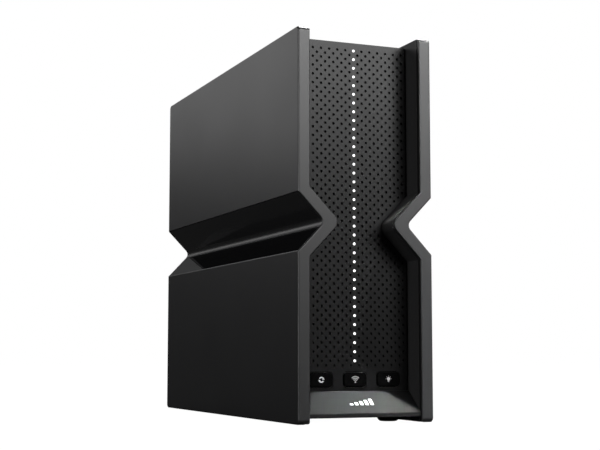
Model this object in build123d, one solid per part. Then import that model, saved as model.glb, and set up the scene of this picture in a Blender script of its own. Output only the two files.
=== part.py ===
from build123d import *
import math
import os

os.makedirs("parts", exist_ok=True)

# A free-standing cable modem gateway. Two side panels are drawn in to a waist, so the
# upright case reads as an X from the front, and a perforated front panel sits deep
# between them. +X is to the right seen from the front, +Y points to the back, +Z is up.
# The origin is on the surface the case stands on, below the middle of the case.
# All sizes are in millimetres.

# Overall sizes
case_width = 76.0
case_depth = 231.0
panel_height = 203.0       # height of the side panels
foot_stand = 0.6           # how far the feet reach below the side panels

# The waist, measured up from the bottom of the side panels
waist_low_height = 87.05   # crease below the waist
waist_mid_height = 102.26  # the waist itself
waist_high_height = 117.14  # crease above the waist
waist_inset = 14.41        # how far the waist is drawn in on each side
waist_radius = 3.3         # fillet in the bottom of the waist groove
rim_waist_radius = 4.5     # the same on the inner edge of the rim
crease_radius = 0.8        # small rounding of both creases

# Side panels: a skin with a broad rim at the front and the back
panel_skin = 2.2
rim_width = 6.49
rim_depth = 1.4
rim_corner = 1.2           # inner top and bottom corners of the rim, seen from the front
rim_edge_radius = 0.4      # fillet along the inner edge of the rim
end_radius = 2.5           # round corners of the panel seen from the side
edge_radius = 0.8          # fillet along the outer edge of the panel
groove_width = 0.8         # fine groove along the crease above the waist
groove_depth = 1.0
groove_end = 1.0           # the groove stops this far from the front and the back
lip_thickness = 1.8        # narrow lips along the top and the bottom

# Black liners inside the side panels
liner_wall = 2.2
liner_drop = 0.2           # top of the liner below the top of the panel
shadow_gap = 1.7           # groove between a rim and its liner
leg_depth = 13.0           # the liner's short front leg, from the front of the case
ledge_width = 3.0
ledge_height = 1.5
boss_size = 9.0
boss_depth = 12.0

# Covers between the liners
seam = 0.1                 # gap round a fixed piece
cover_thickness = 2.0
cover_drop = 2.5           # top cover below the top of the panels
body_rise = 3.0            # bottom cover above the bottom of the panels
top_slot_width = 3.0
top_slot_pitch = 8.0
bottom_slot_pitch = 8.0

# Front recess, perforated grille and the plate behind it
recess_depth = 15.08
grille_thickness = 1.2
grille_gap = 1.2           # dark gap between the grille and the liners
backing_thickness = 1.2
hole_pitch = 4.703
hole_radius = 0.72
hole_margin = 1.6          # least distance from a hole's centre to the grille's edge
led_count = 36
led_low_height = 31.7      # lowest light, above the bottom of the panels
led_radius = 0.68
led_fit = 0.06
guide_width = 4.0
guide_thickness = 2.5
guide_margin = 1.8
board_thickness = 1.6
strip_width = 10.0
strip_thickness = 1.2
led_height = 1.0

# Chin below the grille
chin_top_height = 16.0
chin_low_height = 5.2
chin_front_gap = 1.4       # chin's lip behind the front of the case
chin_wall = 2.0
chin_slope_wall = 4.2      # the wall under the slope, measured straight up

# Front push buttons
button_width = 12.9
button_height = 7.4
button_radius = 1.8
button_pitch = 19.2
button_centre_height = 22.0
button_proud = 0.7
button_clearance = 0.4
button_travel = 0.8
switch_gap = 0.1           # left between a stem and its switch at full travel

# Rear panel and its connectors
rear_recess = 12.0
rear_thickness = 2.2
port_clearance = 0.25
port_proud = 0.5
jack_width = 16.0
jack_height = 13.5
jack_depth = 21.0
jack_pitch = 17.0
power_inlet_height = 13.4
power_button_height = 27.6
first_jack_height = 44.6
usb_gap = 18.0             # from the uppermost jack up to the USB port
reset_gap = 14.0           # from the USB port up to the reset button
coax_gap = 9.5             # from the reset button up to the coaxial connector
coax_radius = 4.76         # thread, outside the nut
coax_shoulder = 5.5        # plain barrel through the panel and the nut
coax_length = 8.5
coax_nut = 12.7
coax_nut_thickness = 2.5
power_travel = 1.5
reset_travel = 0.4

# Screws
screw_radius = 1.5
screw_fit = 0.06
screw_head = 2.8
screw_head_height = 1.8

# Feet
foot_radius = 6.0
foot_edge = 2.4            # rounding of the foot's lower edge
foot_from_side = 4.51      # foot centre, in from the inner face of a side panel
foot_from_end = 31.0

# Places that follow from the sizes above
half = case_width / 2
front = -case_depth / 2
back = case_depth / 2
panel_low = foot_stand
panel_top = foot_stand + panel_height
liner_top = panel_top - liner_drop
body_low = panel_low + body_rise
cover_top = panel_top - cover_drop
cover_low = cover_top - cover_thickness
inner_x = half - rim_width
face_y = front + recess_depth
grille_back = face_y + grille_thickness
backing_back = grille_back + backing_thickness
rear_out = back - rear_recess
rear_in = rear_out - rear_thickness
chin_top = panel_low + chin_top_height
button_z = panel_low + button_centre_height
led_low = panel_low + led_low_height
led_high = led_low + (led_count - 1) * hole_pitch
board_x = jack_height / 2
board_right = board_x + board_thickness
board_front = face_y + 14.0
board_back = rear_in - 0.5
board_low = body_low + 6.4
board_high = cover_low - 3.0


def along_x(face, x_from, x_to):
    return extrude(Plane.YZ.offset(x_from) * face, amount=x_to - x_from)


def along_y(face, y_from, y_to):
    return extrude(Plane.XZ.offset(-y_to) * face, amount=y_to - y_from)


def along_z(face, z_from, z_to):
    return extrude(Plane.XY.offset(z_from) * face, amount=z_to - z_from)


def block(x_from, x_to, y_from, y_to, z_from, z_to):
    place = Pos((x_from + x_to) / 2, (y_from + y_to) / 2, (z_from + z_to) / 2)
    return place * Box(x_to - x_from, y_to - y_from, z_to - z_from)


def rod_x(radius, x_from, x_to, y, z):
    return along_x(Pos(y, z) * Circle(radius), x_from, x_to)


def rod_y(radius, y_from, y_to, x, z):
    return along_y(Pos(x, z) * Circle(radius), y_from, y_to)


def rod_z(radius, z_from, z_to, x, y):
    return along_z(Pos(x, y) * Circle(radius), z_from, z_to)


def mirrored(shape):
    return mirror(shape, about=Plane.YZ)


# The right-hand outline of the case, a given distance inside its outer face: the wall
# below the waist, the two slopes that meet in the waist, and the wall above it.
low_angle = math.atan2(waist_inset, waist_mid_height - waist_low_height)
high_angle = math.atan2(waist_inset, waist_high_height - waist_mid_height)


def crease_low(inset):
    return panel_low + waist_low_height - inset * math.tan(low_angle / 2)


def crease_high(inset):
    return panel_low + waist_high_height + inset * math.tan(high_angle / 2)


def side_points(inset, z_low, z_high):
    wall_x = half - inset
    rise = crease_high(inset) - crease_low(inset)
    drawn_in = rise / (1 / math.tan(low_angle) + 1 / math.tan(high_angle))
    mid_z = crease_low(inset) + drawn_in / math.tan(low_angle)
    return [
        (wall_x, z_low),
        (wall_x, crease_low(inset)),
        (wall_x - drawn_in, mid_z),
        (wall_x, crease_high(inset)),
        (wall_x, z_high),
    ]


def side_band(inset, inner_inset, z_low, z_high, outer_waist, inner_waist, corner=0):
    # The strip between two such outlines, as a face with rounded waists and inner corners.
    outer = side_points(inset, z_low, z_high)
    inner = side_points(inner_inset, z_low, z_high)
    radii = [0, crease_radius, outer_waist, crease_radius, 0]
    radii += [corner, crease_radius, inner_waist, crease_radius, corner]
    return make_face(FilletPolyline(*(outer + inner[::-1]), radius=radii, close=True))


def cross_wire(inset, z_low, z_high, waist):
    # The whole X-shaped outline between both sides.
    right = side_points(inset, z_low, z_high)
    left = [(-x, z) for x, z in right[::-1]]
    radii = [0, crease_radius, waist, crease_radius, 0] * 2
    return FilletPolyline(*(right + left), radius=radii, close=True)


# Side panels: one moulding each, skin, rims and lips together, with a shallow pocket
# for the glossy inlay in the slope below the waist and a fine groove above it.
inlay_depth = 0.8
inlay_fit = 0.1
inlay_front = 1.2          # start of the inlay behind the front of the case
inlay_top_end = 8.0        # its slanting rear end, before the back of the case at the waist
inlay_low_end = 74.0       # and at the lower crease
inlay_edge = 0.5           # kept free of the crease and of the waist fillet

slope_length = math.hypot(waist_inset, waist_mid_height - waist_low_height)
waist_flat = waist_radius / math.tan((math.pi - low_angle - high_angle) / 2)


def inlay_face():
    s_low = inlay_edge
    s_high = slope_length - waist_flat - inlay_edge
    points = [
        (front + inlay_front, s_low),
        (back - inlay_low_end, s_low),
        (back - inlay_top_end, s_high),
        (front + inlay_front, s_high),
    ]
    return make_face(Polyline(*points, close=True))


slope_plane = Plane(
    origin=(half, 0, crease_low(0)),
    x_dir=(0, 1, 0),
    z_dir=(math.cos(low_angle), 0, math.sin(low_angle)),
)


def outer_x(z):
    # X of the outer face at a height, leaving the waist fillet aside.
    if z < crease_low(0) or z > crease_high(0):
        return half
    mid_z = panel_low + waist_mid_height
    if z < mid_z:
        return half - (z - crease_low(0)) * math.tan(low_angle)
    return half - (crease_high(0) - z) * math.tan(high_angle)


def is_outer_edge(edge):
    middle = edge.position_at(0.5)
    at_end = min(middle.Y - front, back - middle.Y) < end_radius
    at_rim = min(middle.Y - front, back - middle.Y) < 0.001
    at_top = min(middle.Z - panel_low, panel_top - middle.Z) < 0.001
    at_corner = at_end and min(middle.Z - panel_low, panel_top - middle.Z) < end_radius
    near = abs(middle.X - outer_x(middle.Z)) < waist_radius / 2
    if at_corner or at_top:
        near = abs(middle.X - half) < 0.001
    return near and (at_rim or at_top or at_corner)


def make_rim(y_from, y_to, y_face):
    rim_face = side_band(
        0, rim_width, panel_low, panel_top, waist_radius, rim_waist_radius, rim_corner
    )
    rim = along_y(rim_face, y_from, y_to)
    edges = []
    for edge in rim.edges():
        middle = edge.position_at(0.5)
        inside = outer_x(middle.Z) - middle.X > waist_radius
        if inside and abs(edge.position_at(0).Y - y_face) + abs(middle.Y - y_face) < 0.001:
            if abs(middle.Z - panel_low) > 0.001 and abs(middle.Z - panel_top) > 0.001:
                edges.append(edge)
    return fillet(edges, rim_edge_radius)


def crease_groove():
    turn = Rot(0, 0, -math.degrees(high_angle) / 2)
    section = Pos(half, crease_high(0)) * turn * Rectangle(2 * groove_depth, groove_width)
    return along_y(section, front + groove_end, back - groove_end)


def make_side_panel():
    inner_fillet = waist_radius + panel_skin
    skin_face = side_band(0, panel_skin, panel_low, panel_top, waist_radius, inner_fillet)
    panel = along_y(skin_face, front, back)
    panel += make_rim(front, front + rim_depth, front)
    panel += make_rim(back - rim_depth, back, back)
    lip_x = half - rim_width + liner_wall + seam
    panel += block(lip_x, half, front, back, panel_top - lip_thickness, panel_top)
    panel += block(lip_x, half, front, back, panel_low, panel_low + lip_thickness)
    centre = Pos(0, (panel_low + panel_top) / 2)
    rounded = centre * RectangleRounded(case_depth, panel_height, end_radius)
    panel = panel & along_x(rounded, 0, half)
    panel = fillet(panel.edges().filter_by(is_outer_edge), edge_radius)
    pocket = offset(inlay_face(), inlay_fit, kind=Kind.INTERSECTION)
    panel -= extrude(slope_plane * pocket, amount=-inlay_depth)
    return panel - crease_groove()


def make_inlay():
    return extrude(slope_plane * inlay_face(), amount=-inlay_depth)


# Liners: the black inner walls. They carry ledges for the covers, stops for the front
# plate, bosses for the rear screws, and ribs that the outer panel rests on.
rib_thickness = 1.6
rear_screw_z = [body_low + 14.0, cover_top - 14.0]
rear_screw_x = inner_x - boss_size / 2


def make_liner():
    y_from = front + rim_depth + shadow_gap
    y_to = back - rim_depth - shadow_gap
    wall_face = side_band(
        rim_width - liner_wall, rim_width, body_low, liner_top,
        rim_waist_radius - liner_wall, rim_waist_radius,
    )
    liner = along_y(wall_face, y_from, y_to)
    leg_end = front + leg_depth
    leg_points = [
        (y_from, body_low + 1.0),
        (y_from, panel_low + 0.2),
        (leg_end, panel_low + 0.2),
        (leg_end, body_low + 1.0),
    ]
    leg = make_face(FilletPolyline(*leg_points, radius=[0, 0.6, 1.8, 0], close=True))
    liner += along_x(leg, inner_x, inner_x + liner_wall)
    rib_from = inner_x + liner_wall
    rib_to = half - panel_skin - inlay_fit
    low_ribs = [panel_low + 12.0, panel_low + waist_low_height / 2, crease_low(rim_width) - 6.0]
    high_ribs = [crease_high(rim_width) + 6.0, panel_top - 45.0, panel_top - 12.0]
    for z in low_ribs + high_ribs:
        liner += block(
            rib_from, rib_to, y_from + 15.0, y_to - 15.0, z, z + rib_thickness
        )
    ledge_x = inner_x - ledge_width
    stop_y = backing_back + 2.0
    low_z = body_low + cover_thickness
    liner += block(ledge_x, inner_x, stop_y, rear_in, cover_low - ledge_height, cover_low)
    liner += block(ledge_x, inner_x, stop_y, rear_in, low_z, low_z + ledge_height)
    liner += block(
        inner_x - 2.5, inner_x, backing_back, stop_y, low_z, crease_low(rim_width) - 2.0
    )
    liner += block(
        inner_x - 2.5, inner_x, backing_back, stop_y, crease_high(rim_width) + 2.0, cover_low
    )
    for z in rear_screw_z:
        boss = block(
            inner_x - boss_size, inner_x, rear_in - boss_depth, rear_in,
            z - boss_size / 2, z + boss_size / 2,
        )
        liner += boss
        liner -= rod_y(screw_radius + screw_fit, rear_in - 10.5, rear_in, rear_screw_x, z)
    return liner


# Covers: flat plates with rows of slots, resting on the liners' ledges.
def slotted_cover(z_from, pitch):
    x_edge = inner_x - seam
    y_from = backing_back + seam
    y_to = rear_in - seam
    cover = block(-x_edge, x_edge, y_from, y_to, z_from, z_from + cover_thickness)
    slot_length = 2 * (x_edge - ledge_width - 6.0)
    count = int((y_to - y_from - 50.0) / pitch)
    slots = []
    for number in range(count):
        y = (y_from + y_to) / 2 + (number - (count - 1) / 2) * pitch
        slots.append(Pos(0, y) * SlotOverall(slot_length, top_slot_width))
    cutter = along_z(Sketch() + slots, z_from - 1.0, z_from + cover_thickness + 1.0)
    return cover - cutter


def make_bottom_cover():
    return slotted_cover(body_low, bottom_slot_pitch)


def make_feet():
    solids = []
    foot_x = inner_x - foot_from_side
    for x in (-foot_x, foot_x):
        for y in (front + foot_from_end, back - foot_from_end):
            foot = rod_z(foot_radius, 0, body_low, x, y)
            rim_edge = foot.edges().filter_by(GeomType.CIRCLE).sort_by(Axis.Z)[0]
            solids.append(fillet(rim_edge, foot_edge))
    return Compound(children=solids)


# Front grille: an X-shaped plate with staggered rows of small round holes. The holes of
# the middle column are a little larger, for the lights.
def hole_places():
    places = []
    columns = int(half / hole_pitch) + 1
    for row in range(led_count):
        for column in range(-columns, columns + 1):
            if column != 0:
                places.append((column * hole_pitch, led_low + row * hole_pitch))
            x = (column + 0.5) * hole_pitch
            places.append((x, led_low + (row - 0.5) * hole_pitch))
    kept = []
    inset = rim_width + grille_gap + hole_margin
    line = side_points(inset, chin_top, cover_top)
    for x, z in places:
        if abs(x) <= edge_x(line, z) + 0.001 and z < cover_top - hole_margin:
            kept.append((x, z))
    return kept


def edge_x(line, z):
    # X of an outline made by side_points at a height.
    for (x_a, z_a), (x_b, z_b) in zip(line, line[1:]):
        if z <= z_b:
            return x_a + (x_b - x_a) * (z - z_a) / (z_b - z_a)
    return line[-1][0]


button_x = [-button_pitch, 0.0, button_pitch]


def button_opening(x, grow):
    width = button_width + 2 * grow
    height = button_height + 2 * grow
    return Pos(x, button_z) * RectangleRounded(width, height, button_radius + grow)


def make_front_grille():
    outline = cross_wire(rim_width + grille_gap, chin_top + seam, cover_top, rim_waist_radius)
    holes = []
    for x, z in hole_places():
        holes.append(Wire.make_circle(hole_radius, Plane((x, z, 0))))
    for row in range(led_count):
        place = Plane((0, led_low + row * hole_pitch, 0))
        holes.append(Wire.make_circle(led_radius + led_fit, place))
    for x in button_x:
        holes.append(button_opening(x, button_clearance).face().outer_wire())
    return along_y(Face(outline.wire(), holes), face_y, grille_back)


def make_backing_plate():
    plate = make_face(cross_wire(rim_width + seam, chin_top + seam, cover_top, rim_waist_radius))
    for x in button_x:
        plate -= button_opening(x, button_clearance)
    window = led_high - led_low + 2 * led_radius + 1.0
    plate -= Pos(0, (led_low + led_high) / 2) * Rectangle(2 * led_radius + 0.6, window)
    backing = along_y(plate, grille_back, backing_back)
    for x in (-3.6, 3.6):
        for step in (0.04, 0.34, 0.66, 0.96):
            z = led_low + step * (led_high - led_low)
            backing += rod_y(1.0, backing_back, strip_front, x, z)
    for x in (-button_pitch / 2, button_pitch / 2):
        backing += rod_y(1.2, backing_back, button_board_front, x, button_z)
    return backing


# Row of lights: a clear guide bar with one pip for each light, and a strip board with
# one light-emitting diode behind each pip.
strip_front = backing_back + guide_thickness + 0.2 + led_height


def make_light_guide():
    bar = block(
        -guide_width / 2, guide_width / 2, backing_back, backing_back + guide_thickness,
        led_low - guide_margin, led_high + guide_margin,
    )
    pips = []
    for row in range(led_count):
        z = led_low + row * hole_pitch
        pips.append(rod_y(led_radius, face_y - 0.1, backing_back, 0, z))
    return bar + pips


def make_led_strip_board():
    return block(
        -strip_width / 2, strip_width / 2, strip_front, strip_front + strip_thickness,
        led_low - guide_margin, led_high + guide_margin,
    )


def make_leds():
    solids = []
    for row in range(led_count):
        z = led_low + row * hole_pitch
        solids.append(block(-0.8, 0.8, strip_front - led_height, strip_front, z - 0.8, z + 0.8))
    return Compound(children=solids)


# Chin: a hollow wedge with a smooth sloping face below the grille.
def make_chin():
    x_edge = inner_x - seam
    lip_y = front + chin_front_gap
    lip_z = panel_low + chin_low_height
    outer = [
        (face_y, chin_top), (lip_y, lip_z), (lip_y, body_low),
        (backing_back, body_low), (backing_back, chin_top),
    ]
    chin = along_x(
        make_face(FilletPolyline(*outer, radius=[0.3, 0.5, 0.3, 0, 0], close=True)),
        -x_edge, x_edge,
    )
    low_z = body_low + chin_wall
    back_y = backing_back - chin_wall
    inner = [
        (lip_y + chin_wall + 3.0, low_z), (back_y, low_z), (back_y, chin_top - chin_slope_wall),
    ]
    hollow = along_x(make_face(Polyline(*inner, close=True)), -x_edge + chin_wall, x_edge - chin_wall)
    return chin - hollow


# Front buttons: a cap that stands through the grille, a flange that keeps it in behind
# the backing plate, and a stem that reaches to the switch.
flange_thickness = 1.2
stem_length = 1.5
flange_front = backing_back + 0.1
stem_end = flange_front + flange_thickness + stem_length
plunger_tip = stem_end + button_travel + switch_gap
plunger_length = 1.0
switch_depth = 3.4
button_board_front = plunger_tip + plunger_length + switch_depth


def make_button(x):
    cap = along_y(button_opening(x, 0), face_y - button_proud, flange_front)
    cap_face = cap.faces().sort_by(Axis.Y)[0]
    cap = fillet(cap_face.edges(), 0.35)
    flange = Pos(x, button_z) * Rectangle(button_width + 2.4, button_height + 2.4)
    button = cap + along_y(flange, flange_front, flange_front + flange_thickness)
    return button + rod_y(2.0, flange_front + flange_thickness, stem_end, x, button_z)


def make_button_board():
    x_edge = button_pitch + 8.0
    board = block(
        -x_edge, x_edge, button_board_front, button_board_front + board_thickness,
        button_z - 6.0, button_z + 6.0,
    )
    return board


def make_button_switches():
    solids = []
    for x in button_x:
        body = block(
            x - 3.0, x + 3.0, plunger_tip + plunger_length, button_board_front,
            button_z - 3.0, button_z + 3.0,
        )
        solids.append(body + rod_y(1.7, plunger_tip, plunger_tip + plunger_length, x, button_z))
    return Compound(children=solids)


# Rear connectors, one above the other on the edge of the upright main board
jack_z = [panel_low + first_jack_height + number * jack_pitch for number in range(5)]
power_inlet_z = panel_low + power_inlet_height
power_button_z = panel_low + power_button_height
usb_z = jack_z[-1] + usb_gap
reset_z = usb_z + reset_gap
coax_z = reset_z + coax_gap + coax_nut / 2
inlet_height = 11.0        # across the board
inlet_width = 9.0
inlet_x = board_x - inlet_height / 2
usb_height = 7.1
usb_width = 14.5
usb_x = board_x - usb_height / 2
power_x = board_x - 5.0
reset_x = board_x - 3.0
power_cap = 7.0
reset_nose = 0.85
reset_hole = 1.0


def make_jack(z):
    jack = block(
        -board_x, board_x, rear_out + port_proud - jack_depth, rear_out + port_proud,
        z - jack_width / 2, z + jack_width / 2,
    )
    mouth = rear_out + port_proud
    jack -= block(-3.6, 4.6, mouth - 14.0, mouth, z - 5.9, z + 5.9)
    jack -= block(-5.0, -3.6, mouth - 14.0, mouth, z - 3.1, z + 3.1)
    jack -= block(-6.1, -5.0, mouth - 14.0, mouth, z - 1.7, z + 1.7)
    return jack


def make_usb_port():
    mouth = rear_out + port_proud
    outer = [usb_x - usb_height / 2, usb_x + usb_height / 2]
    port = block(*outer, mouth - 14.0, mouth, usb_z - usb_width / 2, usb_z + usb_width / 2)
    port -= block(
        usb_x - 2.55, usb_x + 2.55, mouth - 10.0, mouth, usb_z - 6.25, usb_z + 6.25
    )
    tongue = block(usb_x + 0.3, usb_x + 2.1, mouth - 10.0, mouth - 0.8, usb_z - 5.4, usb_z + 5.4)
    return port + tongue


def make_power_inlet():
    mouth = rear_out + port_proud
    inlet = block(
        board_x - inlet_height, board_x, mouth - 14.5, mouth,
        power_inlet_z - inlet_width / 2, power_inlet_z + inlet_width / 2,
    )
    inlet -= rod_y(3.15, mouth - 11.0, mouth, inlet_x, power_inlet_z)
    return inlet + rod_y(1.05, mouth - 11.0, mouth - 1.0, inlet_x, power_inlet_z)


def make_coax_connector():
    thread_end = rear_out + coax_length
    base = block(-board_x, board_x, rear_in - 13.0, rear_in, coax_z - 6.35, coax_z + 6.35)
    connector = base + rod_y(coax_shoulder, rear_in, rear_out + coax_nut_thickness, 0, coax_z)
    connector += rod_y(coax_radius, rear_out + coax_nut_thickness, thread_end, 0, coax_z)
    socket = rod_y(2.8, rear_in - 2.0, thread_end, 0, coax_z)
    return connector - socket


def make_coax_insulator():
    thread_end = rear_out + coax_length
    plug = rod_y(2.75, rear_in - 2.0, thread_end - 0.4, 0, coax_z)
    return plug - rod_y(0.6, thread_end - 6.0, thread_end, 0, coax_z)


def make_coax_nut():
    hexagon = Pos(0, coax_z) * RegularPolygon(coax_nut / 2, 6, major_radius=False)
    nut = along_y(hexagon, rear_out, rear_out + coax_nut_thickness)
    return nut - rod_y(coax_shoulder + 0.05, rear_out - 1.0, rear_out + 4.0, 0, coax_z)


# Power button: a square cap through the rear panel with its latching switch behind.
power_flange = rear_in - 0.1
power_stem_end = power_flange - 3.0
power_plunger_tip = power_stem_end - power_travel - switch_gap


def make_power_button():
    outline = Pos(power_x, power_button_z) * RectangleRounded(power_cap, power_cap, 0.8)
    cap = along_y(outline, power_flange, rear_out + 2.5)
    cap = fillet(cap.faces().sort_by(Axis.Y)[-1].edges(), 0.4)
    flange = Pos(power_x, power_button_z) * Rectangle(power_cap + 2.0, power_cap + 2.0)
    button = cap + along_y(flange, power_flange - 1.0, power_flange)
    return button + rod_y(1.5, power_stem_end, power_flange - 1.0, power_x, power_button_z)


def make_power_switch():
    body_back = power_plunger_tip - 2.0
    body = block(
        power_x - 4.0, board_x, body_back - 10.0, body_back,
        power_button_z - 4.0, power_button_z + 4.0,
    )
    return body + rod_y(1.2, body_back, power_plunger_tip, power_x, power_button_z)


# Reset button: pressed with a pin through a small hole in the rear panel.
reset_flange = rear_in - 0.1
reset_stem_end = reset_flange - 2.7
reset_plunger_tip = reset_stem_end - reset_travel - switch_gap


def make_reset_button():
    button = rod_y(reset_nose, reset_flange, rear_out - 0.8, reset_x, reset_z)
    button += rod_y(2.2, reset_flange - 1.2, reset_flange, reset_x, reset_z)
    return button + rod_y(1.0, reset_stem_end, reset_flange - 1.2, reset_x, reset_z)


def make_reset_switch():
    body_back = reset_plunger_tip - 1.0
    body = block(
        reset_x - 3.0, reset_x + 3.0, body_back - 5.0, body_back, reset_z - 3.0, reset_z + 3.0
    )
    return body + rod_y(1.0, body_back, reset_plunger_tip, reset_x, reset_z)


# Rear panel: an X-shaped plate with a cut-out for each connector, slots for air on both
# sides of them, and four screws into the liners' bosses.
vent_length = 11.0
vent_height = 2.0
vent_pitch = 5.0


def vent_rows(z_from, z_to):
    rows = int((z_to - z_from) / vent_pitch)
    return [z_from + (row + 0.5) * (z_to - z_from) / rows for row in range(rows)]


def make_rear_panel():
    edge = rim_width + seam
    plate = make_face(cross_wire(edge, body_low, cover_top, rim_waist_radius))
    for z in jack_z:
        grow = 2 * port_clearance
        plate -= Pos(0, z) * Rectangle(jack_height + grow, jack_width + grow)
    grow = 2 * port_clearance
    plate -= Pos(usb_x, usb_z) * Rectangle(usb_height + grow, usb_width + grow)
    plate -= Pos(inlet_x, power_inlet_z) * Rectangle(inlet_height + grow, inlet_width + grow)
    plate -= Pos(power_x, power_button_z) * Rectangle(power_cap + grow, power_cap + grow)
    plate -= Pos(reset_x, reset_z) * Circle(reset_hole)
    plate -= Pos(0, coax_z) * Circle(coax_shoulder + 0.2)
    vents = []
    vent_x = (board_right + inner_x + 3.0) / 2
    low_rows = vent_rows(rear_screw_z[0] + 8.0, crease_low(rim_width) - 4.0)
    high_rows = vent_rows(crease_high(rim_width) + 4.0, rear_screw_z[1] - 8.0)
    for z in low_rows + high_rows:
        for x in (-vent_x, vent_x):
            vents.append(Pos(x, z) * SlotOverall(vent_length, vent_height))
    plate -= Sketch() + vents
    for z in rear_screw_z:
        for x in (-rear_screw_x, rear_screw_x):
            plate -= Pos(x, z) * Circle(screw_radius + screw_fit)
    return along_y(plate, rear_in, rear_out)


def make_case_screws():
    solids = []
    for z in rear_screw_z:
        for x in (-rear_screw_x, rear_screw_x):
            head = rod_y(screw_head, rear_out, rear_out + screw_head_height, x, z)
            head = fillet(head.faces().sort_by(Axis.Y)[-1].edges(), 0.6)
            screw = head + rod_y(screw_radius, rear_in - 9.0, rear_out, x, z)
            recess = block(x - 1.4, x + 1.4, rear_out + 0.8, rear_out + 3.0, z - 0.3, z + 0.3)
            recess += block(x - 0.3, x + 0.3, rear_out + 0.8, rear_out + 3.0, z - 1.4, z + 1.4)
            solids.append(screw - recess)
    return Compound(children=solids)


# Main board: upright, a little right of the middle, on four long standoffs.
standoff_radius = 3.0
board_screw_places = [
    (board_front + 11.0, body_low + 20.0),
    (board_front + 11.0, crease_high(rim_width) + 9.0),
    (rear_in - 64.0, body_low + 20.0),
    (rear_in - 64.0, crease_high(rim_width) + 9.0),
]


def make_main_board():
    board = block(board_x, board_right, board_front, board_back, board_low, board_high)
    for y, z in board_screw_places:
        board -= rod_x(screw_radius + screw_fit, board_x - 1.0, board_right + 1.0, y, z)
    return board


def make_standoffs():
    solids = []
    for y, z in board_screw_places:
        pillar = rod_x(standoff_radius, board_right, inner_x, y, z)
        solids.append(pillar - rod_x(screw_radius + screw_fit, board_right, board_right + 9.0, y, z))
    return Compound(children=solids)


def make_board_screws():
    solids = []
    for y, z in board_screw_places:
        screw = rod_x(screw_head, board_x - screw_head_height, board_x, y, z)
        solids.append(screw + rod_x(screw_radius, board_x, board_right + 7.0, y, z))
    return Compound(children=solids)


# Cooling: four finned heat sinks on both sides of the board, above and below the waist,
# each pressed on chips through soft pads.
chip_height = 1.6
pad_height = 0.8
sink_base = 3.0
fin_thickness = 1.4
fin_pitch = 7.5
sink_front = board_front + 24.0
sink_back = rear_in - 80.0
low_zone = [body_low + 12.0, crease_low(rim_width) - 5.0]
high_zone = [crease_high(rim_width) + 4.0, cover_low - 8.0]
chip_places = [
    (-1, low_zone, 0.35, 24.0), (-1, high_zone, 0.5, 18.0),
    (1, low_zone, 0.25, 12.0), (1, low_zone, 0.75, 12.0),
    (1, high_zone, 0.3, 14.0), (1, high_zone, 0.7, 14.0),
]


def board_face(side):
    return board_right if side > 0 else board_x


def make_heat_sink(side, zone):
    start = board_face(side) + side * (chip_height + pad_height)
    base_end = start + side * sink_base
    tip = side * (inner_x - 4.5)
    sink = block(min(start, base_end), max(start, base_end), sink_front, sink_back, *zone)
    fins = int((sink_back - sink_front - fin_thickness) / fin_pitch) + 1
    step = (sink_back - sink_front - fin_thickness) / (fins - 1)
    for number in range(fins):
        y = sink_front + number * step
        sink += block(min(base_end, tip), max(base_end, tip), y, y + fin_thickness, *zone)
    return sink


def chip_row(start_offset, height):
    solids = []
    for side, zone, share, size in chip_places:
        y = sink_front + share * (sink_back - sink_front)
        z = (zone[0] + zone[1]) / 2
        a = board_face(side) + side * start_offset
        b = a + side * height
        solids.append(
            block(min(a, b), max(a, b), y - size / 2, y + size / 2, z - size / 2, z + size / 2)
        )
    return Compound(children=solids)


# Shield cans, electrolytic capacitors and line transformers on the board
def make_can(side, y_from, y_to, z_from, z_to, height):
    a = board_face(side)
    b = a + side * height
    can = block(min(a, b), max(a, b), y_from, y_to, z_from, z_to)
    c = b - side * 0.4
    inside = block(min(a, c), max(a, c), y_from + 0.4, y_to - 0.4, z_from + 0.4, z_to - 0.4)
    return can - inside


def make_tuner_can():
    return make_can(-1, rear_in - 50.0, rear_in - 20.0, coax_z - 12.0, coax_z + 10.0, 6.0)


def make_wifi_cans():
    z_from = crease_high(rim_width) + 15.0
    solids = []
    for side in (-1, 1):
        solids.append(
            make_can(side, board_front + 2.0, board_front + 21.0, z_from, z_from + 30.0, 3.0)
        )
    return Compound(children=solids)


capacitor_radius = 4.0
capacitor_length = 12.0
capacitor_places = [
    (rear_in - 38.0, board_low + 6.0),
    (rear_in - 48.0, board_low + 6.0),
    (rear_in - 38.0, board_low + 18.0),
]


def make_capacitors():
    solids = []
    for y, z in capacitor_places:
        solids.append(rod_x(capacitor_radius, board_x - capacitor_length, board_x, y, z))
    return Compound(children=solids)


def make_transformers():
    solids = []
    y_to = rear_out + port_proud - jack_depth - 3.0
    for z in jack_z:
        solids.append(block(board_x - 5.0, board_x, y_to - 9.0, y_to, z - 6.5, z + 6.5))
    return Compound(children=solids)


# Wireless antennas: six small boards on the liners, each with a thin lead to the main
# board. A lead leaves its antenna, turns down, and turns again to its socket.
antenna_width = 10.0
antenna_height = 34.0
antenna_thickness = 0.8
antenna_high = cover_low - 5.0
lead_radius = 0.55
lead_bend = 4.0
lead_drop = 14.0
socket_height = 1.6
antenna_y = [board_front + 7.0, rear_in - 54.0, rear_in - 26.0]
antenna_spots = [(side, y) for side in (-1, 1) for y in antenna_y]


def make_antennas():
    solids = []
    for side, y in antenna_spots:
        a = side * inner_x
        b = side * (inner_x - antenna_thickness)
        solids.append(block(
            min(a, b), max(a, b), y - antenna_width / 2, y + antenna_width / 2,
            antenna_high - antenna_height, antenna_high,
        ))
    return Compound(children=solids)


def make_antenna_sockets():
    z = antenna_high - 6.0 - lead_drop
    solids = []
    for side, y in antenna_spots:
        a = board_face(side)
        b = a + side * socket_height
        solids.append(block(min(a, b), max(a, b), y - 1.5, y + 1.5, z - 1.5, z + 1.5))
    return Compound(children=solids)


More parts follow.
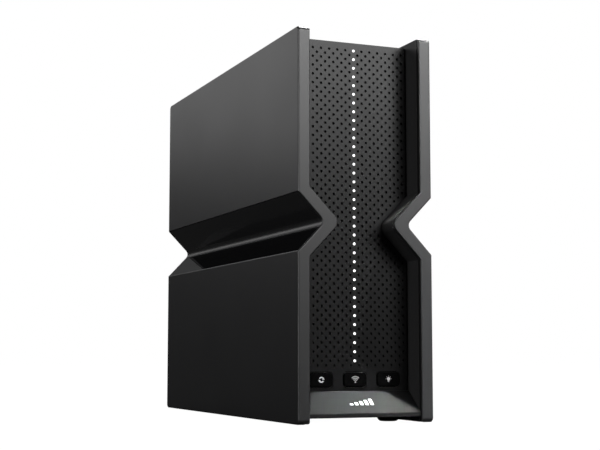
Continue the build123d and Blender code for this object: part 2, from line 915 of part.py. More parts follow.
def make_antenna_leads():
    solids = []
    z = antenna_high - 6.0
    for side, y in antenna_spots:
        start = side * (inner_x - antenna_thickness)
        end = board_face(side) + side * socket_height
        middle = (start + end) / 2
        path = FilletPolyline(
            (start, y, z), (middle, y, z), (middle, y, z - lead_drop), (end, y, z - lead_drop),
            radius=lead_bend,
        )
        profile = Plane(origin=(start, y, z), z_dir=(-side, 0, 0)) * Circle(lead_radius)
        solids.append(sweep(profile, path=path))
    return Compound(children=solids)


right_panel = make_side_panel()
right_liner = make_liner()
right_inlay = make_inlay()

pieces = {
    "right_side_panel": right_panel,
    "left_side_panel": mirrored(right_panel),
    "right_side_liner": right_liner,
    "left_side_liner": mirrored(right_liner),
    "right_waist_inlay": right_inlay,
    "left_waist_inlay": mirrored(right_inlay),
    "top_cover": slotted_cover(cover_low, top_slot_pitch),
    "bottom_cover": make_bottom_cover(),
    "rubber_feet": make_feet(),
    "front_grille": make_front_grille(),
    "grille_backing_plate": make_backing_plate(),
    "light_guide": make_light_guide(),
    "led_strip_board": make_led_strip_board(),
    "status_leds": make_leds(),
    "chin_trim": make_chin(),
    "pairing_button": make_button(button_x[0]),
    "wifi_button": make_button(button_x[1]),
    "light_button": make_button(button_x[2]),
    "button_board": make_button_board(),
    "button_switches": make_button_switches(),
    "rear_panel": make_rear_panel(),
    "case_screws": make_case_screws(),
    "lan_jack_1": make_jack(jack_z[0]),
    "lan_jack_2": make_jack(jack_z[1]),
    "lan_jack_3": make_jack(jack_z[2]),
    "lan_jack_4": make_jack(jack_z[3]),
    "wan_jack": make_jack(jack_z[4]),
    "usb_port": make_usb_port(),
    "power_inlet": make_power_inlet(),
    "coax_connector": make_coax_connector(),
    "coax_insulator": make_coax_insulator(),
    "coax_nut": make_coax_nut(),
    "power_button": make_power_button(),
    "power_switch": make_power_switch(),
    "reset_button": make_reset_button(),
    "reset_switch": make_reset_switch(),
    "main_board": make_main_board(),
    "board_standoffs": make_standoffs(),
    "board_screws": make_board_screws(),
    "heat_sink_left_low": make_heat_sink(-1, low_zone),
    "heat_sink_left_high": make_heat_sink(-1, high_zone),
    "heat_sink_right_low": make_heat_sink(1, low_zone),
    "heat_sink_right_high": make_heat_sink(1, high_zone),
    "chips": chip_row(0.0, chip_height),
    "thermal_pads": chip_row(chip_height, pad_height),
    "tuner_shield_can": make_tuner_can(),
    "wifi_shield_cans": make_wifi_cans(),
    "capacitors": make_capacitors(),
    "line_transformers": make_transformers(),
    "antennas": make_antennas(),
    "antenna_sockets": make_antenna_sockets(),
    "antenna_leads": make_antenna_leads(),
}

for name, shape in pieces.items():
    export_step(shape, "parts/" + name + ".step")
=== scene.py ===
import bpy
import math
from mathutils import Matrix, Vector


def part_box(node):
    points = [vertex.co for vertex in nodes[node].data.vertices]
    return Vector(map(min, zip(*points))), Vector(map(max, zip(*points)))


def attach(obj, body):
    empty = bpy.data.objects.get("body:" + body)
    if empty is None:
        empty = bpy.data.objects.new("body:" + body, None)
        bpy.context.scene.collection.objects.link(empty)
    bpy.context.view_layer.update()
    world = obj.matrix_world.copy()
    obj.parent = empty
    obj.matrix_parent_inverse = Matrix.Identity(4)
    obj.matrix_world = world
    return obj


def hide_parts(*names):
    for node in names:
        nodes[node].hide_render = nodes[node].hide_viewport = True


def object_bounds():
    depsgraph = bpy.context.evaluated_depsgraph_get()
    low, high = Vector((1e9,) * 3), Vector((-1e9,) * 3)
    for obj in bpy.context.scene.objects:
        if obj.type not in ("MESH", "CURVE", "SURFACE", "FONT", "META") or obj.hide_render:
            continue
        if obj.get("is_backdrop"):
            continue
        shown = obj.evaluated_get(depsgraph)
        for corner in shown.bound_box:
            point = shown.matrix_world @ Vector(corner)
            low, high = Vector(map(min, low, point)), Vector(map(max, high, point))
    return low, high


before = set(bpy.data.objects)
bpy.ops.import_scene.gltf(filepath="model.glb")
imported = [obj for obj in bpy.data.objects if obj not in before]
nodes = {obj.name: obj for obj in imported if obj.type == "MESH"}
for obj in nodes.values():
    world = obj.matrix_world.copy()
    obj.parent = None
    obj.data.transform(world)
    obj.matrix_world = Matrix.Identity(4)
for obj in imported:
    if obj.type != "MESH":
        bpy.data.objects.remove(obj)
cad_low, cad_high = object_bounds()
MM = 0.001


# ---- Side panels ----------------------------------------------------------------------
# The two outer mouldings: dark grey satin plastic with a fine even grain, each one skin,
# rims and lips in one piece. They clip over the ribs of the black liners.

def grain_group():
    group = bpy.data.node_groups.new("moulded_grain", "ShaderNodeTree")
    face = group.interface
    for name, value in (("Grain Scale", 2600.0), ("Depth", 0.00001), ("Roughness", 0.4),
                        ("Roughness Swing", 0.06), ("Tint Swing", 0.1)):
        socket = face.new_socket(name=name, in_out="INPUT", socket_type="NodeSocketFloat")
        socket.default_value = value
    face.new_socket(name="Colour", in_out="INPUT", socket_type="NodeSocketColor")
    face.new_socket(name="Colour", in_out="OUTPUT", socket_type="NodeSocketColor")
    face.new_socket(name="Roughness", in_out="OUTPUT", socket_type="NodeSocketFloat")
    face.new_socket(name="Normal", in_out="OUTPUT", socket_type="NodeSocketVector")
    n, l = group.nodes, group.links
    given = n.new("NodeGroupInput")
    out = n.new("NodeGroupOutput")
    place = n.new("ShaderNodeTexCoord")
    fine = n.new("ShaderNodeTexNoise")
    fine.inputs["Detail"].default_value = 3.0
    l.new(place.outputs["Object"], fine.inputs["Vector"])
    l.new(given.outputs["Grain Scale"], fine.inputs["Scale"])
    bump = n.new("ShaderNodeBump")
    bump.inputs["Strength"].default_value = 0.6
    l.new(fine.outputs["Fac"], bump.inputs["Height"])
    l.new(given.outputs["Depth"], bump.inputs["Distance"])
    l.new(bump.outputs["Normal"], out.inputs["Normal"])
    broad = n.new("ShaderNodeTexNoise")
    broad.inputs["Scale"].default_value = 22.0
    broad.inputs["Detail"].default_value = 4.0
    l.new(place.outputs["Object"], broad.inputs["Vector"])
    centred = n.new("ShaderNodeMath")
    centred.operation = "SUBTRACT"
    centred.inputs[1].default_value = 0.5
    l.new(broad.outputs["Fac"], centred.inputs[0])
    rough = n.new("ShaderNodeMath")
    rough.operation = "MULTIPLY_ADD"
    l.new(centred.outputs[0], rough.inputs[0])
    l.new(given.outputs["Roughness Swing"], rough.inputs[1])
    l.new(given.outputs["Roughness"], rough.inputs[2])
    l.new(rough.outputs[0], out.inputs["Roughness"])
    tint = n.new("ShaderNodeMath")
    tint.operation = "MULTIPLY_ADD"
    l.new(centred.outputs[0], tint.inputs[0])
    l.new(given.outputs["Tint Swing"], tint.inputs[1])
    tint.inputs[2].default_value = 1.0
    shade = n.new("ShaderNodeVectorMath")
    shade.operation = "SCALE"
    l.new(given.outputs["Colour"], shade.inputs[0])
    l.new(tint.outputs[0], shade.inputs["Scale"])
    l.new(shade.outputs[0], out.inputs["Colour"])
    return group


grain = grain_group()


def finish(name, colour, roughness, scale=2600.0, depth=0.00001, swing=0.06, tint=0.1,
           specular=0.5, metallic=0.0):
    # A plastic, rubber, ink or metal with a fine even grain. The scale and depth are the
    # grain's, the swings are the slow changes of roughness and shade over the piece.
    material = bpy.data.materials.new(name)
    material.use_nodes = True
    n, l = material.node_tree.nodes, material.node_tree.links
    shader = n["Principled BSDF"]
    shader.inputs["Specular IOR Level"].default_value = specular
    shader.inputs["Metallic"].default_value = metallic
    surface = n.new("ShaderNodeGroup")
    surface.node_tree = grain
    surface.inputs["Colour"].default_value = (*colour, 1.0)
    surface.inputs["Roughness"].default_value = roughness
    surface.inputs["Grain Scale"].default_value = scale
    surface.inputs["Depth"].default_value = depth
    surface.inputs["Roughness Swing"].default_value = swing
    surface.inputs["Tint Swing"].default_value = tint
    l.new(surface.outputs["Colour"], shader.inputs["Base Color"])
    l.new(surface.outputs["Roughness"], shader.inputs["Roughness"])
    l.new(surface.outputs["Normal"], shader.inputs["Normal"])
    return material


def dress(material, *names):
    for name in names:
        nodes[name].data.materials.clear()
        nodes[name].data.materials.append(material)


panel_grey = finish("panel_grey", (0.014, 0.0141, 0.0148), 0.36, specular=0.8)
POLISHED = 0.12            # roughness of the polished slope
SLOPE_START = 4.0 * MM     # the polish starts and ends this far above the waist
SLOPE_END = 17.5 * MM


def polish_slope(material, z_from, z_to, y_end):
    # The slope above the waist is polished in the mould: its roughness drops there.
    n, l = material.node_tree.nodes, material.node_tree.links
    shader = n["Principled BSDF"]
    place = n.new("ShaderNodeTexCoord")
    split = n.new("ShaderNodeSeparateXYZ")
    l.new(place.outputs["Object"], split.inputs[0])
    sums = []
    for axis, middle, reach in (("Z", (z_from + z_to) / 2, (z_to - z_from) / 2), ("Y", 0.0, y_end)):
        near = n.new("ShaderNodeMath")
        near.operation = "COMPARE"
        l.new(split.outputs[axis], near.inputs[0])
        near.inputs[1].default_value = middle
        near.inputs[2].default_value = reach
        sums.append(near)
    inside = n.new("ShaderNodeMath")
    inside.operation = "MULTIPLY"
    l.new(sums[0].outputs[0], inside.inputs[0])
    l.new(sums[1].outputs[0], inside.inputs[1])
    rough = n.new("ShaderNodeMix")
    rough.inputs["B"].default_value = POLISHED
    l.new(inside.outputs[0], rough.inputs["Factor"])
    l.new(n["Group"].outputs["Roughness"], rough.inputs["A"])
    l.new(rough.outputs["Result"], shader.inputs["Roughness"])


waist_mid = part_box("right_waist_inlay")[1].z
polish_slope(panel_grey, waist_mid + SLOPE_START, waist_mid + SLOPE_END, cad_high.y - 1.0 * MM)
dress(panel_grey, "left_side_panel", "right_side_panel")


# ---- Waist inlays ---------------------------------------------------------------------
# A thin polished black strip in the slope below each waist, glued into a shallow pocket.
# Its rear end runs out on a slant.

piano_black = finish("piano_black", (0.004, 0.004, 0.0045), 0.06, 900.0, 0.000001, 0.02)
dress(piano_black, "left_waist_inlay", "right_waist_inlay")


# ---- Liners, covers and rear panel ------------------------------------------------------
# The black inner walls beside the recesses, and the slotted covers and the rear panel
# between them: plain black moulded plastic, a little duller than the panels.

liner_black = finish("liner_black", (0.022, 0.022, 0.0225), 0.5, specular=0.3)
dress(liner_black, "left_side_liner", "right_side_liner")
cover_black = finish("cover_black", (0.014, 0.014, 0.0145), 0.5, 1800.0, 0.00002)
dress(cover_black, "top_cover", "bottom_cover", "rear_panel")


# ---- Feet -----------------------------------------------------------------------------
# Four soft black rubber buttons, moulded with a rounded lower edge and pressed into the
# bottom cover. The rubber is dull and picks up a little dust.

rubber = finish("foot_rubber", (0.014, 0.014, 0.014), 0.75, 1200.0, 0.00004, 0.1, 0.3, 0.3)
dress(rubber, "rubber_feet")


# ---- Front grille -----------------------------------------------------------------------
# The perforated front: a satin plate with staggered small holes over a matt black backing
# plate, which keeps dust and sight out of the case.

grille_satin = finish("grille_satin", (0.003, 0.003, 0.0032), 0.3, specular=0.4)
dress(grille_satin, "front_grille")
backing_matt = finish("backing_matt", (0.02, 0.02, 0.02), 0.8)
dress(backing_matt, "grille_backing_plate")


# ---- Column of lights -------------------------------------------------------------------
# A clear bar behind the plates carries one pip for each light. The diodes on the strip
# board behind it light the pips, so only their front ends glow.

GLOW_FULL = 0.1 * MM       # the glow is full up to here behind the front end
GLOW_END = 0.3 * MM        # and has faded out here


def lit_plastic(name, front_end):
    material = bpy.data.materials.new(name)
    material.use_nodes = True
    n, l = material.node_tree.nodes, material.node_tree.links
    shader = n["Principled BSDF"]
    shader.inputs["Roughness"].default_value = 0.25
    place = n.new("ShaderNodeTexCoord")
    split = n.new("ShaderNodeSeparateXYZ")
    l.new(place.outputs["Object"], split.inputs[0])
    tip = n.new("ShaderNodeMapRange")
    tip.inputs["From Min"].default_value = front_end + GLOW_END
    tip.inputs["From Max"].default_value = front_end + GLOW_FULL
    l.new(split.outputs["Y"], tip.inputs["Value"])
    cloud = n.new("ShaderNodeTexNoise")
    cloud.inputs["Scale"].default_value = 700.0
    l.new(place.outputs["Object"], cloud.inputs["Vector"])
    milk = n.new("ShaderNodeMix")
    milk.data_type = "RGBA"
    milk.inputs["A"].default_value = (0.72, 0.74, 0.76, 1.0)
    milk.inputs["B"].default_value = (0.86, 0.87, 0.88, 1.0)
    l.new(cloud.outputs["Fac"], milk.inputs["Factor"])
    l.new(milk.outputs["Result"], shader.inputs["Base Color"])
    glow = n.new("ShaderNodeMix")
    glow.data_type = "RGBA"
    glow.inputs["A"].default_value = (0.0, 0.0, 0.0, 1.0)
    glow.inputs["B"].default_value = (1.0, 1.0, 1.0, 1.0)
    l.new(tip.outputs["Result"], glow.inputs["Factor"])
    l.new(glow.outputs["Result"], shader.inputs["Emission Color"])
    shader.inputs["Emission Strength"].default_value = 1.4
    return material


dress(lit_plastic("lit_light_guide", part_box("light_guide")[0].y), "light_guide")
dress(lit_plastic("white_diode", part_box("status_leds")[0].y), "status_leds")


# ---- Front push buttons -----------------------------------------------------------------
# Three satin black keys that stand a little out of the grille. Each carries a printed
# sign: two white turning arrows for pairing, a grey radio fan, and a white lamp with rays.

key_black = finish("key_black", (0.0015, 0.0015, 0.0016), 0.35, specular=0.04)
dress(key_black, "pairing_button", "wifi_button", "light_button")
white_ink = finish("white_ink", (0.85, 0.85, 0.85), 0.6, 4000.0, 0.000002, 0.05, 0.04)
grey_ink = finish("grey_ink", (0.36, 0.36, 0.36), 0.6, 4000.0, 0.000002, 0.05, 0.04)
INK = 0.04 * MM            # height of the printed ink


def deselect():
    bpy.ops.object.select_all(action="DESELECT")


def only(obj):
    deselect()
    obj.select_set(True)
    bpy.context.view_layer.objects.active = obj


def apply_place(obj):
    only(obj)
    bpy.ops.object.transform_apply(location=True, rotation=True, scale=True)


def clean(obj):
    only(obj)
    bpy.ops.object.mode_set(mode="EDIT")
    bpy.ops.mesh.select_all(action="SELECT")
    bpy.ops.mesh.remove_doubles(threshold=0.000001)
    bpy.ops.mesh.normals_make_consistent(inside=False)
    bpy.ops.object.mode_set(mode="OBJECT")


def joined(parts, name):
    deselect()
    for part in parts:
        part.select_set(True)
    bpy.context.view_layer.objects.active = parts[0]
    if len(parts) > 1:
        bpy.ops.object.join()
    piece = bpy.context.view_layer.objects.active
    piece.name = name
    piece.data.name = name
    return piece


def settle(parts, name, place, turn, material, body):
    piece = joined(parts, name)
    piece.rotation_euler = (turn, 0.0, 0.0)
    piece.location = place
    apply_place(piece)
    clean(piece)
    piece.data.materials.clear()
    piece.data.materials.append(material)
    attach(piece, body)
    return piece


def choose_edges(obj, test):
    only(obj)
    bpy.ops.object.mode_set(mode="EDIT")
    bpy.ops.mesh.select_all(action="DESELECT")
    bpy.ops.mesh.select_mode(type="EDGE")
    bpy.ops.object.mode_set(mode="OBJECT")
    points = obj.data.vertices
    for edge in obj.data.edges:
        edge.select = test(points[edge.vertices[0]].co, points[edge.vertices[1]].co)
    bpy.ops.object.mode_set(mode="EDIT")


def round_edges(obj, test, radius, segments=3):
    choose_edges(obj, test)
    bpy.ops.mesh.bevel(offset=radius, segments=segments, affect="EDGES")
    bpy.ops.object.mode_set(mode="OBJECT")


def upright(a, b):
    return abs(a.z - b.z) > 0.5 * INK and (a - b).xy.length < 0.01 * INK


def ink_bar(x, y, width, height, turn=0.0, corner=0.35):
    deselect()
    bpy.ops.mesh.primitive_cube_add(size=1.0, location=(0.0, 0.0, 0.0))
    bar = bpy.context.object
    bar.scale = (width * MM, height * MM, INK)
    apply_place(bar)
    round_edges(bar, upright, corner * min(width, height) * MM)
    bar.rotation_euler = (0.0, 0.0, turn)
    bar.location = (x * MM, y * MM, INK / 2)
    apply_place(bar)
    return bar


def ink_disc(x, y, radius, corners=28, turn=0.0):
    deselect()
    bpy.ops.mesh.primitive_circle_add(vertices=corners, radius=radius * MM, fill_type="NGON",
                                      location=(x * MM, y * MM, 0.0), rotation=(0.0, 0.0, turn))
    disc = bpy.context.object
    bpy.ops.object.mode_set(mode="EDIT")
    bpy.ops.mesh.select_all(action="SELECT")
    bpy.ops.mesh.extrude_region_move(TRANSFORM_OT_translate={"value": (0.0, 0.0, INK)})
    bpy.ops.object.mode_set(mode="OBJECT")
    apply_place(disc)
    return disc


def ink_arc(x, y, radius, width, start, sweep):
    # An arc strip round (x, y), from the angle start and through sweep, both in degrees.
    deselect()
    bpy.ops.mesh.primitive_plane_add(size=1.0, location=(0.0, 0.0, 0.0))
    arc = bpy.context.object
    arc.scale = (width * MM, INK, 1.0)
    arc.rotation_euler = (math.pi / 2, 0.0, 0.0)
    arc.location = (radius * MM, 0.0, INK / 2)
    apply_place(arc)
    bpy.ops.object.mode_set(mode="EDIT")
    bpy.ops.mesh.select_all(action="SELECT")
    bpy.ops.mesh.spin(steps=20, angle=math.radians(sweep), center=(0.0, 0.0, 0.0),
                      axis=(0.0, 0.0, -1.0))
    bpy.ops.object.mode_set(mode="OBJECT")
    arc.rotation_euler = (0.0, 0.0, math.radians(start))
    arc.location = (x * MM, y * MM, 0.0)
    apply_place(arc)
    return arc


def sign_place(node):
    # Middle of a front key's face, from which its sign stands out by the ink's height.
    low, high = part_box(node)
    return ((low.x + high.x) / 2, low.y, (low.z + high.z) / 2)


# The shapes of the signs are in millimetres, from the middle of the key's face.
RING = 1.2
arrows = []
for turn in (35.0, 215.0):
    arrows.append(ink_arc(0.0, 0.0, RING, 0.62, turn, 118.0))
    tip = math.radians(turn - 14.0)
    head = (RING * math.cos(tip), RING * math.sin(tip))
    arrows.append(ink_disc(*head, 0.72, 3, tip - math.pi / 6))
settle(arrows, "pairing_sign", sign_place("pairing_button"), math.pi / 2, white_ink,
       "pairing_button")

FAN_FOOT = -1.3
fan = [ink_disc(0.0, FAN_FOOT, 0.42)]
for radius in (1.15, 2.0, 2.85):
    fan.append(ink_arc(0.0, FAN_FOOT, radius, 0.5, 45.0, 90.0))
settle(fan, "wifi_sign", sign_place("wifi_button"), math.pi / 2, grey_ink, "wifi_button")

BULB_UP = 0.25
RAY_OUT = 1.42
lamp = [ink_disc(0.0, BULB_UP, 0.92)]
lamp.append(ink_bar(0.0, -0.85, 0.95, 0.3))
lamp.append(ink_bar(0.0, -1.25, 0.7, 0.26))
for angle in (0.0, 45.0, 90.0, 135.0, 180.0):
    out = math.radians(angle)
    ray = (RAY_OUT * math.cos(out), BULB_UP + RAY_OUT * math.sin(out))
    lamp.append(ink_bar(*ray, 0.42, 0.2, out))
settle(lamp, "light_sign", sign_place("light_button"), math.pi / 2, white_ink, "light_button")


# ---- Chin -------------------------------------------------------------------------------
# The sloping trim below the grille, moulded in a satin dark grey plastic and clipped
# between the liners. A plain sign of rising bars is printed on it in white.

chin_grey = finish("chin_grey", (0.008, 0.008, 0.0083), 0.5, specular=0.15)
dress(chin_grey, "chin_trim")
CHIN_DROP = 10.8           # fall and run of the chin's slope, in millimetres
CHIN_RUN = 13.68
CHIN_SLOPE = math.atan2(CHIN_DROP, CHIN_RUN)
SIGN_DOWN = 8.7 * MM       # middle of the sign, down the slope from the grille
chin_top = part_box("chin_trim")[1].z
grille_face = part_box("front_grille")[0].y
bars = []
for number in range(5):
    tall = 1.4 + 0.85 * number
    bars.append(ink_bar(-5.6 + 2.9 * number, -2.4 + tall / 2, 1.9, tall, 0.0, 0.2))
place = (0.0, grille_face - SIGN_DOWN * math.cos(CHIN_SLOPE),
         chin_top - SIGN_DOWN * math.sin(CHIN_SLOPE))
settle(bars, "rising_bars_sign", place, CHIN_SLOPE, white_ink, "case")


# ---- Network jacks ----------------------------------------------------------------------
# Five moulded sockets on the board's edge, black for the local network and blue for the
# line in. In each, eight gilt spring wires rise from the floor of the opening.

jack_black = finish("jack_black", (0.012, 0.012, 0.012), 0.32, 1400.0)
dress(jack_black, "lan_jack_1", "lan_jack_2", "lan_jack_3", "lan_jack_4", "power_inlet")
jack_blue = finish("jack_blue", (0.02, 0.09, 0.36), 0.35, 1400.0)
dress(jack_blue, "wan_jack")
gilt = finish("gilt_contact", (0.85, 0.58, 0.2), 0.22, 3000.0, 0.000001, 0.1, 0.05, metallic=1.0)

WIRE_WIDTH = 0.45 * MM
WIRE_THICKNESS = 0.25 * MM
WIRE_PITCH = 1.02 * MM
WIRES = 8


def wire(start, steps):
    # A flat wire: a small rectangle across the line, drawn out step by step.
    deselect()
    bpy.ops.mesh.primitive_plane_add(size=1.0, location=start, rotation=(math.pi / 2, 0.0, 0.0))
    strand = bpy.context.object
    strand.scale = (WIRE_THICKNESS, WIRE_WIDTH, 1.0)
    apply_place(strand)
    bpy.ops.object.mode_set(mode="EDIT")
    bpy.ops.mesh.select_all(action="SELECT")
    for step in steps:
        bpy.ops.mesh.extrude_region_move(TRANSFORM_OT_translate={"value": step})
    bpy.ops.object.mode_set(mode="OBJECT")
    return strand


def shifted_copy(obj, name, shift):
    copy = obj.copy()
    copy.data = obj.data.copy()
    bpy.context.scene.collection.objects.link(copy)
    copy.name = name
    copy.data.name = name
    copy.location = shift
    apply_place(copy)
    return copy


for jack in ("lan_jack_1", "lan_jack_2", "lan_jack_3", "lan_jack_4", "wan_jack"):
    low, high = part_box(jack)
    middle = (low.z + high.z) / 2
    wires = []
    lowest = middle - (WIRES - 1) / 2 * WIRE_PITCH
    first = wire((4.35 * MM, high.y - 2.2 * MM, lowest), [
        (0.0, -1.6 * MM, 0.0), (-0.9 * MM, -2.4 * MM, 0.0), (-1.5 * MM, -3.4 * MM, 0.0),
        (-0.3 * MM, -1.2 * MM, 0.0),
    ])
    for number in range(1, WIRES):
        wires.append(shifted_copy(first, "wire", (0.0, 0.0, number * WIRE_PITCH)))
    contacts = joined([first] + wires, jack.replace("jack", "contacts"))
    clean(contacts)
    contacts.data.materials.append(gilt)
    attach(contacts, "case")


# ---- USB port ---------------------------------------------------------------------------
# A folded sheet-metal shell, nickel plated, round a black tongue with four gilt strips.
# It is soldered to the board by its shell.

nickel = finish("nickel_plate", (0.58, 0.57, 0.54), 0.24, 1500.0, 0.000004, 0.12, 0.06,
                metallic=1.0)
dress(nickel, "usb_port", "coax_nut", "antenna_sockets")
low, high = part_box("usb_port")
usb_mid = (low.z + high.z) / 2
tongue_face = (low.x + high.x) / 2 + 0.3 * MM


def along_y_edge(a, b):
    return abs(a.y - b.y) > 2.0 * MM


strips = []
for shift in (-3.5, -1.0, 1.0, 3.5):
    deselect()
    bpy.ops.mesh.primitive_cube_add(size=1.0, location=(0.0, 0.0, 0.0))
    strip = bpy.context.object
    strip.scale = (0.12 * MM, 6.5 * MM, 1.0 * MM)
    apply_place(strip)
    round_edges(strip, along_y_edge, 0.03 * MM, 2)
    strip.location = (tongue_face - 0.02 * MM, high.y - 4.6 * MM, usb_mid + shift * MM)
    apply_place(strip)
    strips.append(strip)
contacts = joined(strips, "usb_contacts")
clean(contacts)
contacts.data.materials.append(gilt)
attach(contacts, "case")


# ---- Coaxial connector ------------------------------------------------------------------
# A nickel-plated turned barrel on a cast block, with a fine thread outside the nut. A
# white insulator with a small hole fills the barrel's mouth.

low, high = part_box("coax_connector")
axis_z = (low.z + high.z) / 2
nut_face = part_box("coax_nut")[1].y
panel_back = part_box("rear_panel")[0].y
deselect()
bpy.ops.mesh.primitive_cube_add(size=1.0, location=(0.0, 0.0, 0.0))
cast = bpy.context.object
cast.scale = (high.x - low.x, panel_back - low.y, high.z - low.z)
apply_place(cast)
round_edges(cast, along_y_edge, 0.6 * MM)
cast.location = (0.0, (panel_back + low.y) / 2, axis_z)
apply_place(cast)

SHOULDER = 5.5 * MM        # radii of the turned barrel
THREAD_OUT = 4.76 * MM
THREAD_ROOT = 4.3 * MM
BORE = 2.8 * MM
THREAD_PITCH = 0.79 * MM
profile = [(nut_face, SHOULDER), (nut_face, THREAD_ROOT)]
along = nut_face + 0.15 * MM
while along + THREAD_PITCH < high.y - 0.4 * MM:
    profile.append((along, THREAD_ROOT))
    profile.append((along + 0.34 * THREAD_PITCH, THREAD_OUT))
    profile.append((along + 0.48 * THREAD_PITCH, THREAD_OUT))
    profile.append((along + 0.82 * THREAD_PITCH, THREAD_ROOT))
    along += THREAD_PITCH
profile += [(high.y - 0.35 * MM, THREAD_ROOT), (high.y, THREAD_ROOT - 0.3 * MM), (high.y, BORE)]
profile.append((panel_back - 1.0 * MM, BORE))
deselect()
bpy.ops.mesh.primitive_circle_add(vertices=48, radius=SHOULDER, fill_type="NOTHING",
                                  location=(0.0, panel_back, axis_z),
                                  rotation=(math.pi / 2, 0.0, 0.0))
barrel = bpy.context.object
apply_place(barrel)
bpy.ops.object.mode_set(mode="EDIT")
bpy.ops.mesh.select_all(action="SELECT")
at, wide = panel_back, SHOULDER
for next_at, next_wide in profile:
    bpy.ops.mesh.extrude_region_move(
        TRANSFORM_OT_translate={"value": (0.0, next_at - at, 0.0)})
    share = next_wide / wide
    bpy.ops.transform.resize(value=(share, 1.0, share), center_override=(0.0, next_at, axis_z))
    at, wide = next_at, next_wide
bpy.ops.object.mode_set(mode="OBJECT")
coax = joined([cast, barrel], "threaded_coax_barrel")
clean(coax)
coax.data.materials.append(nickel)
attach(coax, "case")
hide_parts("coax_connector")
insulator = finish("white_insulator", (0.72, 0.71, 0.67), 0.5, 1600.0, 0.000006)
dress(insulator, "coax_insulator")


# ---- Power and reset buttons ------------------------------------------------------------
# A square push key with a printed power sign, and a small pin-hole button that stays
# behind the face of the rear panel. Both are moulded in black plastic.

dress(key_black, "power_button", "reset_button")
low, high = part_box("power_button")
power_sign = [ink_arc(0.0, 0.0, 1.5, 0.36, 125.0, 290.0), ink_bar(0.0, 1.35, 0.36, 1.6)]
settle(power_sign, "power_sign", ((low.x + high.x) / 2, high.y, (low.z + high.z) / 2),
       -math.pi / 2, white_ink, "power_button")


# ---- Screws -----------------------------------------------------------------------------
# Blackened steel screws with a cross recess hold the rear panel, and bright ones hold the
# board on its standoffs.

black_steel = finish("black_steel", (0.045, 0.045, 0.048), 0.35, 1800.0, 0.000005, 0.15, 0.2,
                     metallic=1.0)
dress(black_steel, "case_screws")
bright_steel = finish("bright_steel", (0.5, 0.5, 0.5), 0.3, 1800.0, 0.000005, 0.15, 0.1,
                      metallic=1.0)
dress(bright_steel, "board_screws")


# ---- Circuit boards ---------------------------------------------------------------------
# Glass-fibre boards under green solder mask. The copper below the mask shows as slightly
# lighter straight tracks.

def board_material():
    material = bpy.data.materials.new("solder_mask")
    material.use_nodes = True
    n, l = material.node_tree.nodes, material.node_tree.links
    shader = n["Principled BSDF"]
    place = n.new("ShaderNodeTexCoord")
    cells = n.new("ShaderNodeTexVoronoi")
    cells.distance = "MANHATTAN"
    cells.inputs["Scale"].default_value = 260.0
    l.new(place.outputs["Object"], cells.inputs["Vector"])
    tracks = n.new("ShaderNodeMapRange")
    tracks.inputs["From Min"].default_value = 0.45
    tracks.inputs["From Max"].default_value = 0.52
    l.new(cells.outputs["Distance"], tracks.inputs["Value"])
    mask = n.new("ShaderNodeMix")
    mask.data_type = "RGBA"
    mask.inputs["A"].default_value = (0.008, 0.06, 0.022, 1.0)
    mask.inputs["B"].default_value = (0.02, 0.12, 0.045, 1.0)
    l.new(tracks.outputs["Result"], mask.inputs["Factor"])
    l.new(mask.outputs["Result"], shader.inputs["Base Color"])
    relief = n.new("ShaderNodeBump")
    relief.inputs["Distance"].default_value = 0.00003
    l.new(tracks.outputs["Result"], relief.inputs["Height"])
    l.new(relief.outputs["Normal"], shader.inputs["Normal"])
    shader.inputs["Roughness"].default_value = 0.3
    return material


dress(board_material(), "main_board", "button_board", "led_strip_board", "antennas")


# ---- Board parts ------------------------------------------------------------------------
# Moulded chips, switches and line transformers, soft grey heat pads, tinned shield cans
# and sleeved capacitors, all soldered or pressed on the boards.

chip_black = finish("chip_black", (0.015, 0.015, 0.016), 0.55, 3000.0, 0.00001)
dress(chip_black, "chips", "button_switches", "power_switch", "reset_switch",
      "line_transformers")
pad_grey = finish("heat_pad", (0.3, 0.34, 0.4), 0.8, 1500.0, 0.00003, 0.05, 0.1, 0.3)
dress(pad_grey, "thermal_pads")
tinned = finish("tinned_sheet", (0.55, 0.55, 0.53), 0.32, 500.0, 0.00001, 0.2, 0.08,
                metallic=1.0)
dress(tinned, "tuner_shield_can", "wifi_shield_cans")
sleeve = finish("capacitor_sleeve", (0.02, 0.022, 0.03), 0.3, 1500.0, 0.000004)
dress(sleeve, "capacitors")
dress(cover_black, "board_standoffs")


# ---- Heat sinks -------------------------------------------------------------------------
# Four extruded aluminium profiles, cut to length and left bare. Their fins carry the fine
# lines of the die, and they press on the chips through the soft pads.

def drawn_aluminium():
    material = bpy.data.materials.new("drawn_aluminium")
    material.use_nodes = True
    n, l = material.node_tree.nodes, material.node_tree.links
    shader = n["Principled BSDF"]
    shader.inputs["Metallic"].default_value = 1.0
    shader.inputs["Base Color"].default_value = (0.6, 0.61, 0.62, 1.0)
    place = n.new("ShaderNodeTexCoord")
    drawn = n.new("ShaderNodeMapping")
    drawn.inputs["Scale"].default_value = (1.0, 1.0, 0.02)
    l.new(place.outputs["Object"], drawn.inputs["Vector"])
    lines = n.new("ShaderNodeTexNoise")
    lines.inputs["Scale"].default_value = 4000.0
    l.new(drawn.outputs["Vector"], lines.inputs["Vector"])
    rough = n.new("ShaderNodeMapRange")
    rough.inputs["To Min"].default_value = 0.3
    rough.inputs["To Max"].default_value = 0.5
    l.new(lines.outputs["Fac"], rough.inputs["Value"])
    l.new(rough.outputs["Result"], shader.inputs["Roughness"])
    relief = n.new("ShaderNodeBump")
    relief.inputs["Distance"].default_value = 0.000004
    l.new(lines.outputs["Fac"], relief.inputs["Height"])
    l.new(relief.outputs["Normal"], shader.inputs["Normal"])
    return material


dress(drawn_aluminium(), "heat_sink_left_low", "heat_sink_left_high", "heat_sink_right_low",
      "heat_sink_right_high")


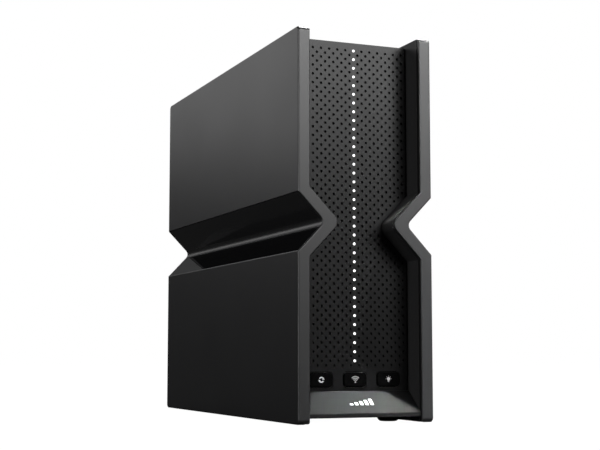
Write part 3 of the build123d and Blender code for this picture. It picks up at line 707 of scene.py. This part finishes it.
# ---- Antenna leads ----------------------------------------------------------------------
# Thin coaxial leads in a black sheath, each soldered to its antenna and clipped to a small
# plated socket on the main board.

sheath = finish("lead_sheath", (0.012, 0.012, 0.013), 0.45, 2500.0, 0.000008)
dress(sheath, "antenna_leads")


# ---- Studio -----------------------------------------------------------------------------
# A plain floor and background, white to the camera and nearly black to everything else,
# soft lights, and the camera low in front of the left corner, looking slightly up.

deselect()
bpy.ops.mesh.primitive_plane_add(size=60.0, location=(0.0, 0.0, 0.0))
floor = bpy.context.object
floor.name = "studio_floor"
material = bpy.data.materials.new("studio_floor")
material.use_nodes = True
n, l = material.node_tree.nodes, material.node_tree.links
shader = n["Principled BSDF"]
shader.inputs["Base Color"].default_value = (0.02, 0.02, 0.02, 1.0)
shader.inputs["Roughness"].default_value = 0.9
shader.inputs["Specular IOR Level"].default_value = 0.0
ray = n.new("ShaderNodeLightPath")
glow = n.new("ShaderNodeMix")
glow.data_type = "RGBA"
glow.inputs["A"].default_value = (0.0, 0.0, 0.0, 1.0)
glow.inputs["B"].default_value = (1.0, 1.0, 1.0, 1.0)
l.new(ray.outputs["Is Camera Ray"], glow.inputs["Factor"])
l.new(glow.outputs["Result"], shader.inputs["Emission Color"])
shader.inputs["Emission Strength"].default_value = 1.0
floor.data.materials.append(material)
floor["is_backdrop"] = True

world = bpy.data.worlds.new("studio")
bpy.context.scene.world = world
world.use_nodes = True
n, l = world.node_tree.nodes, world.node_tree.links
background = n["Background"]
ray = n.new("ShaderNodeLightPath")
tone = n.new("ShaderNodeMix")
tone.data_type = "RGBA"
tone.inputs["A"].default_value = (0.03, 0.03, 0.031, 1.0)
tone.inputs["B"].default_value = (1.0, 1.0, 1.0, 1.0)
l.new(ray.outputs["Is Camera Ray"], tone.inputs["Factor"])
l.new(tone.outputs["Result"], background.inputs["Color"])


def soft_light(name, place, target, width, height, power):
    bpy.ops.object.light_add(type="AREA", location=place)
    light = bpy.context.object
    light.name = name
    light.data.shape = "RECTANGLE"
    light.data.size = width
    light.data.size_y = height
    light.data.energy = power
    direction = Vector(target) - Vector(place)
    light.rotation_euler = direction.to_track_quat("-Z", "Y").to_euler()
    light.visible_camera = False
    return light


soft_light("left_softbox", (-1.15, 2.2, 1.15), (0, 0, 0.12), 1.4, 1.2, 5.2)
soft_light("front_softbox", (0.9, -2.3, 1.25), (0, -0.1, 0.12), 1.8, 1.0, 44)
soft_light("top_light", (0.75, 0.5, 1.9), (0, 0, 0.1), 0.5, 0.5, 32)
soft_light("edge_light", (-1.9, -0.75, 0.6), (0, 0, 0.1), 0.5, 1.2, 17)
# A small lamp with a narrow beam, high on the right, lights the chin.
chin_light = soft_light("chin_light", (0.468, -0.557, 2.008), (0.04, -0.107, 0.011),
                        0.03, 0.03, 0.16)
chin_light.data.spread = math.radians(5.0)

CAMERA_UP = 0.10227        # angles of the camera, up from level and round from +Y
CAMERA_TURN = -0.38904
bpy.ops.object.camera_add(location=(-0.27735, -0.70184, 0.03553))
camera = bpy.context.object
camera.name = "studio_camera"
camera.data.lens = 75.74
camera.data.sensor_width = 36.0
camera.data.clip_start = 0.01
camera.rotation_euler = (math.pi / 2 + CAMERA_UP, 0.0, CAMERA_TURN)
bpy.context.scene.camera = camera
bpy.context.scene.view_settings.view_transform = "Standard"

low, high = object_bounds()
